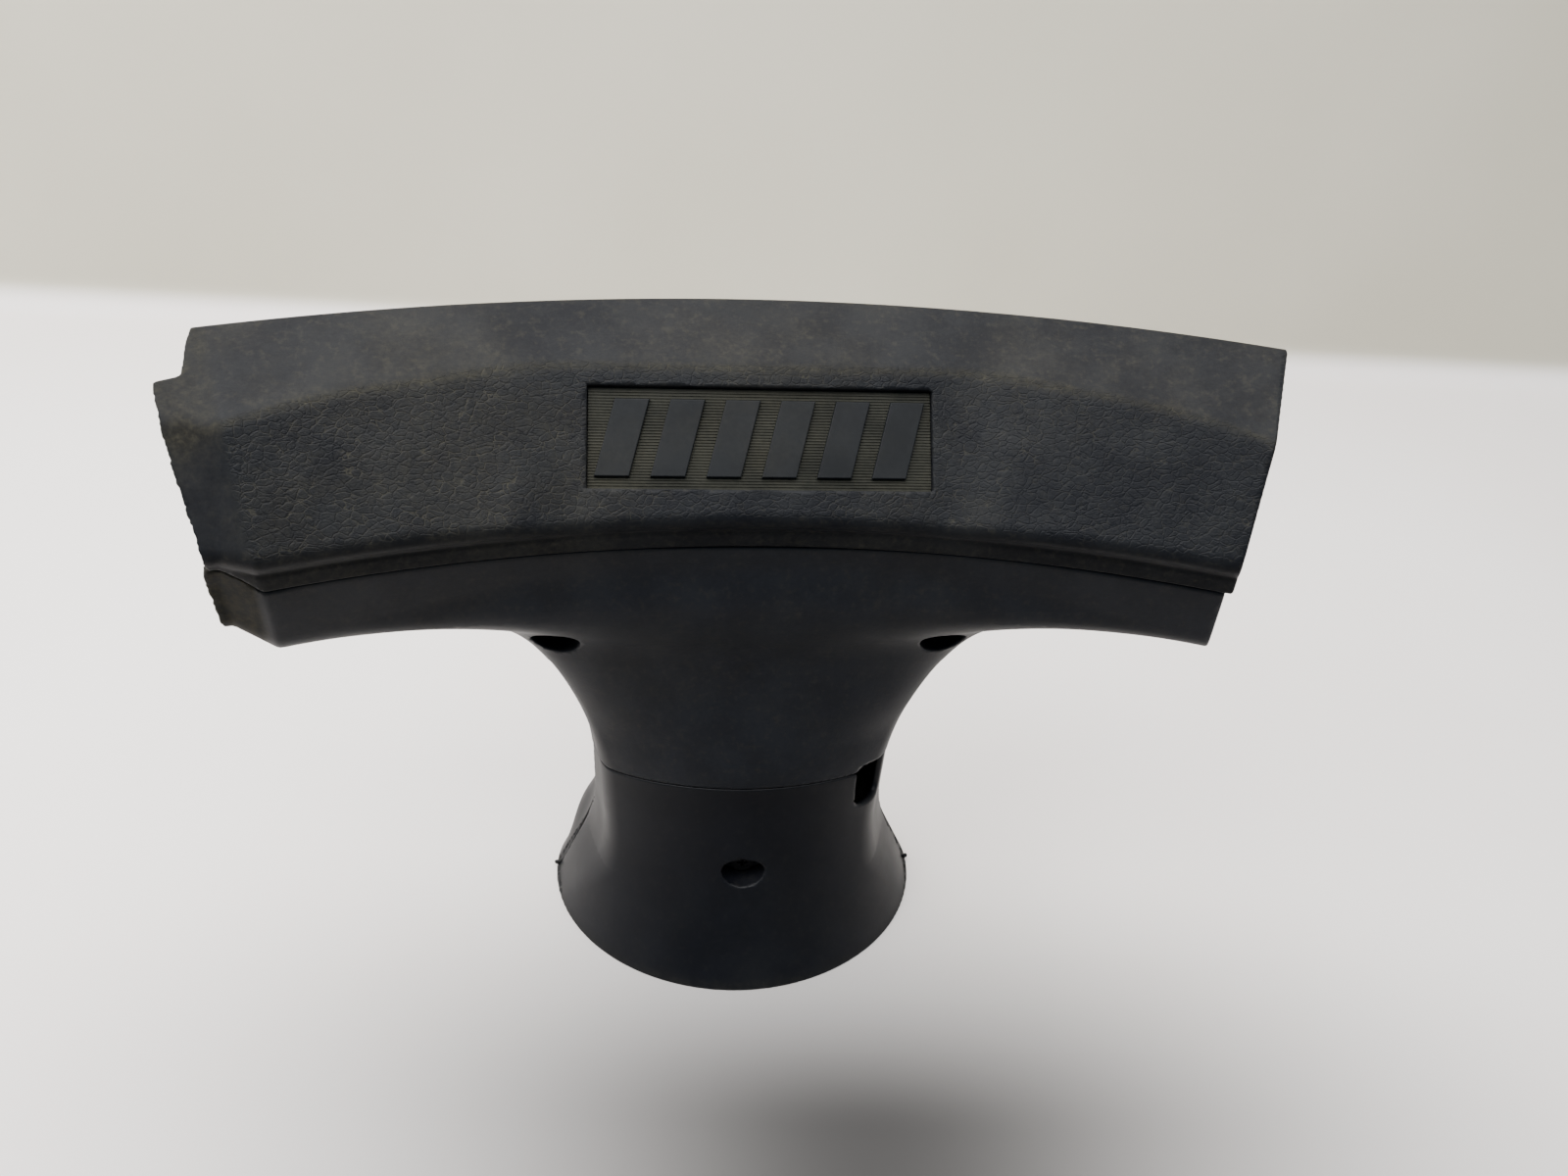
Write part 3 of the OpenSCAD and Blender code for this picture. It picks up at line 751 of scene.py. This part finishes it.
def dust_and_highlight_amount(g, big, leather, fine, dust_and_highlight, dusty):
    """How much of the dust colour goes where: the painted places (dust, and on the upper cover also painted
    highlight and painted sheen), clouds, flakes and the edges of the cells.
    """
    cloud = g.noise(14.0, 5.0, 0.6)
    patch = g.math("MULTIPLY", g.span(cloud, 0.45, 0.66), 0.34 * dusty)
    dust_and_highlight_mix = g.math("ADD", g.math("MULTIPLY", dust_and_highlight, max(dusty, 0.5)), patch)
    dust_and_highlight_mix = g.math("MULTIPLY", dust_and_highlight_mix, g.span(g.noise(420.0, 4.0, 0.7), 0.35, 0.75, 0.35, 1.0))
    flakes = g.span(g.noise(330.0, 4.0, 0.65), 0.5, 0.72, 0.0, 0.3 * dusty)
    dust_and_highlight_mix = g.math("ADD", dust_and_highlight_mix, g.math("MULTIPLY", flakes, fine))
    edge = g.math("SUBTRACT", 1.0, g.span(big, 0.0, 0.038))
    edge = g.math("MULTIPLY", edge, g.span(g.noise(170.0, 3.0, 0.6), 0.42, 0.6))
    crack = g.math("MULTIPLY", g.math("MULTIPLY", edge, leather), g.span(cloud, 0.38, 0.64, 0.35, 1.0))
    return g.math("ADD", dust_and_highlight_mix, g.math("MULTIPLY", crack, 0.75 * dusty), clamp=True)


def plastic(name, dark, light, dust=(0.062, 0.057, 0.040), grain=0.0, stipple=0.05, rough=0.5, dusty=0.5,
            gloss=0.2):
    """Moulded plastic: grain is the depth of the leather cells, stipple that of the fine texture."""
    g = Graph(name)
    leather, fine, dust_and_highlight = g.zones()
    big, small = leather_cells(g)
    g.bump(relief(g, big, small, leather, fine, grain, stipple))
    fleck = g.math("MULTIPLY_ADD", g.noise(650.0, 3.0, 0.7), 0.6, -0.3)
    blend = g.math("ADD", g.noise(60.0, 4.0), fleck)
    tone = g.mix(g.span(blend, 0.3, 0.7), dark, light)
    dust_and_highlight_mix = dust_and_highlight_amount(g, big, leather, fine, dust_and_highlight, dusty)
    # the dust colour also paints the crease highlights and the sheen on the upper cover's top
    g.surface("Base Color", g.mix(dust_and_highlight_mix, tone, dust))
    uneven = g.span(g.noise(35.0, 4.0), 0.3, 0.7, rough - 0.04, rough + 0.06)
    g.surface("Roughness", g.math("ADD", g.math("MULTIPLY", dust_and_highlight_mix, 0.35), uneven, clamp=True))
    g.surface("Specular IOR Level", g.math("MULTIPLY_ADD", dust_and_highlight, -0.85 * gloss, gloss))
    return g.material


def metal(name, color, rough):
    """Bare or coated metal with dull blotches."""
    g = Graph(name)
    blotch = g.noise(700.0, 4.0)
    dull = tuple(c * 0.55 for c in color)
    g.surface("Base Color", g.mix(g.span(blotch, 0.35, 0.7), color, dull))
    g.surface("Roughness", g.span(blotch, 0.3, 0.7, rough - 0.08, rough + 0.12))
    g.surface("Metallic", 0.9)
    return g.material


shell_mat = plastic("shell_grained", (0.0048, 0.0054, 0.0072), (0.0090, 0.0098, 0.0114),
                    grain=0.11, stipple=0.10, gloss=0.08)
lower_mat = plastic("shell_stipple", (0.0048, 0.0058, 0.0084), (0.0074, 0.0088, 0.0120),
                    dust=(0.072, 0.062, 0.036), stipple=0.07, dusty=0.25, gloss=0.22)
skirt_mat = plastic("skirt_satin", (0.0012, 0.0016, 0.0032), (0.0020, 0.0026, 0.0046),
                    stipple=0.02, rough=0.46, dusty=0.12, gloss=0.22)
badge_mat = plastic("badge_ribbed", (0.012, 0.0125, 0.0095), (0.024, 0.0240, 0.0180),
                    rough=0.55, dusty=1.0, gloss=0.12)
bar_mat = plastic("badge_bars", (0.0052, 0.0060, 0.0070), (0.0078, 0.0088, 0.0100),
                  rough=0.48, dusty=0.3, gloss=0.10)


# ---------------------------------------------------------------- the five shells
FINE = 1.15
LONG = 1.7
REACH = HALF_W / math.cos(END) + 30
BAR_CELL, SKIRT_CELL = (LONG, FINE, FINE), (FINE * 1.15, FINE, FINE)


def as_is(u, v, w):
    return u, v, w


def shell_piece(name, node, field, box, cell, place, material, zones):
    """Meshes a field inside box, in place of a CAD node."""
    axes = [np.arange(lo, hi + c, c) for (lo, hi), c in zip(box, cell)]
    verts, quads, normals = contour(field, axes, place)
    obj = make_mesh(name, verts, quads, normals)
    paint(obj.data, zones(*verts.T, normals))
    obj.data.materials.append(material)
    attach(obj, "root")
    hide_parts(node)


shell_piece("upper_cover_shell", "upper_cover", upper_field,
            ((-REACH, REACH), (-64, 34), (TOP - 92, TOP + 2)), BAR_CELL, roll, shell_mat, upper_zones)
shell_piece("front_cover_shell", "front_cover", front_field,
            ((-REACH, REACH), (-44, 3), (34, TOP - 38)), BAR_CELL, roll, lower_mat, lower_zones)
shell_piece("rear_cover_shell", "rear_cover", rear_field,
            ((-REACH, REACH), (-16, 36), (53, TOP - 48)), BAR_CELL, roll, lower_mat, lower_zones)
shell_piece("front_skirt_shell", "front_skirt", front_skirt_field,
            ((-RIM_W - 3, RIM_W + 3), (-RIM_FRONT - 3, 6), (-3, SEAM + 3)), SKIRT_CELL, as_is,
            skirt_mat, skirt_zones)
shell_piece("rear_skirt_shell", "rear_skirt", rear_skirt_field,
            ((-RIM_W - 3, RIM_W + 3), (0, RIM_REAR + 3), (-3, SEAM + 3)), SKIRT_CELL, as_is,
            skirt_mat, skirt_zones)


# ---------------------------------------------------------------- the badge
def badge_place(points):
    """Badge coordinates (across, up, out) to the part's frame, in millimetres."""
    u, v, w = np.asarray(points, float).T
    y = BADGE_MID[0] + v * BADGE_UP[0] - w * BADGE_UP[1]
    return np.stack([u, y, BADGE_MID[1] + v * BADGE_UP[1] + w * BADGE_UP[0]], 1)


def add_prism(bm, rings):
    """A closed solid through rings of the same number of points, bottom ring first."""
    loops = [[bm.verts.new(Vector(q) * MM) for q in badge_place(ring)] for ring in rings]
    n = len(loops[0])
    bm.faces.new(loops[0][::-1])
    bm.faces.new(loops[-1])
    for a, b in zip(loops, loops[1:]):
        for i in range(n):
            bm.faces.new((a[i], a[(i + 1) % n], b[(i + 1) % n], b[i]))


def ring_at(outline, w):
    return [(u, v, w) for u, v in outline]


def shrink(outline, t):
    """A convex outline moved t inwards."""
    out = []
    n = len(outline)
    for i in range(n):
        p, q, r = (np.array(outline[(i + k - 1) % n]) for k in range(3))
        a, b = (q - p) / np.linalg.norm(q - p), (r - q) / np.linalg.norm(r - q)
        na, nb = np.array((-a[1], a[0])), np.array((-b[1], b[0]))
        out.append(tuple(q + t * (na + nb) / (1 + na @ nb)))
    return out


def add_plate(bm, hu, hv):
    """The plate with its fine ribs across, as one comb-shaped section."""
    n = int((2 * hv - 1.0) / RIB_PITCH)
    start = -n * RIB_PITCH / 2
    rib = ((0.78, 0.0), (0.66, RIB_H), (0.22, RIB_H), (0.1, 0.0))
    comb = [(-hv, -POCKET), (hv, -POCKET), (hv, PLATE_TOP)]
    for i in reversed(range(n)):
        comb += [(start + i * RIB_PITCH + dv, PLATE_TOP + dw) for dv, dw in rib]
    comb.append((-hv, PLATE_TOP))
    add_prism(bm, [[(u, v, w) for v, w in comb] for u in (-hu, hu)])


def add_peg(bm, sign):
    circle = [(sign * PEG_X + PEG_R * math.cos(a), PEG_R * math.sin(a))
              for a in np.linspace(0, 2 * math.pi, 20, endpoint=False)]
    add_prism(bm, [ring_at(circle, -POCKET - 6), ring_at(circle, -POCKET + 0.5)])


def add_bar(bm, i, hu, hv):
    """One of the raised slanted bars, with a small bevel round its top."""
    pitch = (2 * hu - 4) / BARS
    mid, half = (i - (BARS - 1) / 2) * pitch, pitch * 0.31
    lean, up = 3.4, hv - 4.0
    outline = [(mid - half - lean, -up), (mid + half - lean, -up), (mid + half + lean, up),
               (mid - half + lean, up)]
    levels = ((-0.12, -0.3), (0, 1.6), (0.12, 1.75), (0.3, 1.82))
    add_prism(bm, [ring_at(shrink(outline, t) if t else outline, PLATE_TOP + w) for t, w in levels])


def make_badge():
    hu, hv = BADGE_HALF[0] - 0.25, BADGE_HALF[1] - 0.25
    bm = bmesh.new()
    add_plate(bm, hu, hv)
    for sign in (-1, 1):
        add_peg(bm, sign)
    plate_faces = len(bm.faces)
    for i in range(BARS):
        add_bar(bm, i, hu, hv)
    for i, face in enumerate(bm.faces):
        face.material_index = 0 if i < plate_faces else 1
    bmesh.ops.recalc_face_normals(bm, faces=bm.faces)
    mesh = bpy.data.meshes.new("badge_plate_ribbed")
    bm.to_mesh(mesh)
    bm.free()
    obj = add_object("badge_plate_ribbed", mesh)
    mesh.materials.append(badge_mat)
    mesh.materials.append(bar_mat)
    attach(obj, "root")
    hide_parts("badge_plate")


make_badge()

# ---------------------------------------------------------------- screws, inserts and nuts stay the CAD's
METALS = {"screw": metal("steel_black", (0.02, 0.02, 0.022), 0.55),
          "insert": metal("brass_plain", (0.45, 0.32, 0.14), 0.35),
          "nut": metal("steel_zinc", (0.32, 0.33, 0.35), 0.35)}
for name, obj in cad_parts.items():
    for word, material in METALS.items():
        if word in name:
            obj.data.materials.clear()
            obj.data.materials.append(material)


# ---------------------------------------------------------------- camera, floor and light, in metres
PITCH, ROLL, YAW = math.radians(35.62), math.radians(4.149), math.radians(6.877)
SENSOR = 36.0
FOCAL = SENSOR * 1334.7 / 1600
EYE = Vector((0.0137, -0.41005, 0.45255))


def make_camera():
    data = bpy.data.cameras.new("camera")
    data.sensor_width = SENSOR
    data.lens = FOCAL
    data.clip_end = 20
    cam = add_object("camera", data)
    cam.location = Matrix.Rotation(-YAW, 3, "Z") @ EYE
    turn = Matrix.Rotation(-YAW, 4, "Z") @ Matrix.Rotation(math.pi / 2 - PITCH, 4, "X")
    cam.rotation_euler = (turn @ Matrix.Rotation(ROLL, 4, "Z")).to_euler()
    bpy.context.scene.camera = cam


def paper_material():
    """White paper below and cloth above, with the shade that the room throws on the front."""
    g = Graph("studio_paper")
    axes = g.nodes.new("ShaderNodeSeparateXYZ")
    g.put(g.coord, axes.inputs[0])
    x, y, z = axes.outputs
    cloud = g.span(g.noise(2.5), 0.3, 0.7)
    paper = g.mix(cloud, (0.84, 0.79, 0.765), (0.87, 0.835, 0.815))
    cloth = g.mix(cloud, (0.47, 0.445, 0.36), (0.52, 0.495, 0.41))
    paper = g.mix(g.span(z, 0.004, 0.02), paper, cloth)
    across = g.math("DIVIDE", g.math("SUBTRACT", x, 0.055), 0.23)
    hump = g.math("EXPONENT", g.math("MULTIPLY", -1.0, g.math("MULTIPLY", across, across)))
    near = g.math("MULTIPLY", hump, g.span(y, -0.13, 0.015, 0.95, 0.0))
    shade = g.math("MULTIPLY", near, g.span(y, -0.36, -0.17))
    shade = g.math("MAXIMUM", shade, g.span(y, -0.30, -0.10, 0.72, 0.0))
    g.surface("Base Color", g.mix(shade, paper, (0.0, 0.0, 0.0)))
    g.surface("Roughness", 0.7)
    g.surface("Specular IOR Level", 0.2)
    return g.material


def make_stage():
    """A paper floor running up into a back wall, through a small cove."""
    width, depth, back, height, radius, steps = 1.7, 1.6, 0.56, 1.4, 0.025, 12
    profile = [(-depth, 0.0), (back - radius, 0.0)]
    for i in range(1, steps + 1):
        a = i / steps * math.pi / 2
        profile.append((back - radius + radius * math.sin(a), radius - radius * math.cos(a)))
    profile.append((back + 0.1, height))
    verts = [(sx * width / MM, y / MM, z / MM) for y, z in profile for sx in (-1, 1)]
    faces = np.array([(2 * i, 2 * i + 1, 2 * i + 3, 2 * i + 2) for i in range(len(profile) - 1)])
    floor = make_mesh("studio_floor", verts, faces)
    floor.rotation_euler = (0, 0, math.radians(-4.2))
    floor.data.materials.append(paper_material())


def area_light(name, at, aim, size, power, color=(1, 1, 1)):
    data = bpy.data.lights.new(name, "AREA")
    data.shape = "RECTANGLE"
    data.size, data.size_y = size
    data.energy = power
    data.color = color
    lamp = add_object(name, data)
    lamp.location = at
    lamp.rotation_euler = (Vector(aim) - Vector(at)).to_track_quat("-Z", "Y").to_euler()


def make_light():
    """A wide ceiling panel, a weaker panel at each side and a dim bluish room."""
    world = bpy.data.worlds.new("studio")
    world.use_nodes = True
    room = world.node_tree.nodes["Background"]
    room.inputs["Color"].default_value = (0.62, 0.8, 1.0, 1)
    room.inputs["Strength"].default_value = 0.3
    bpy.context.scene.world = world
    area_light("top_panel", (-0.28, 0.25, 1.3), (-0.15, 0.25, 0), (2.2, 1.6), 92, (1.0, 0.985, 0.97))
    area_light("left_panel", (-1.0, 0.1, 0.5), (0, 0.1, 0.2), (0.9, 1.6), 11.5)
    area_light("right_panel", (1.0, 0.1, 0.5), (0, 0.1, 0.2), (0.9, 1.6), 3)


make_camera()
make_stage()
make_light()
